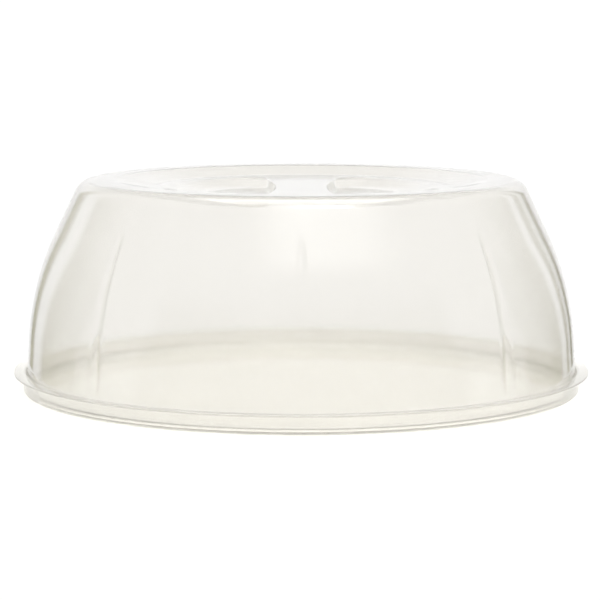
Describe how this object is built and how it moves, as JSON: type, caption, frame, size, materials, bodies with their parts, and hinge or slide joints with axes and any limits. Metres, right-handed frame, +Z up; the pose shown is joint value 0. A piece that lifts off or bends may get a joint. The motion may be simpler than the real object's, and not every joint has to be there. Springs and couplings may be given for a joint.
{
  "type": "humidity dome tray",
  "caption": "Clear round plant tray with a lift-off barrel-shaped dome; the dome's top is sunk in the middle, with a grip bar between finger pockets.",
  "frame": {"origin": "middle of the tray's underside, on the surface that the tray stands on", "axes": "+Z up along the axis of the round tray and dome; the grip bar runs along Y, with a finger pocket on the +X and the -X side of it"},
  "size_m": [0.3, 0.3, 0.1096],
  "materials": {
    "tray_plastic": "clear glossy moulded plastic with a faint cream tint",
    "dome_plastic": "clear glossy moulded plastic with a faint cream tint"
  },
  "bodies": {
    "tray": {"base_tray": "tray_plastic"},
    "dome": {"dome_cover": "dome_plastic"}
  },
  "joints": [
    {"name": "dome_lift", "type": "slide", "parent": "tray", "child": "dome", "axis": [0, 0, 1], "range_m": [0, 0.12]}
  ]
}
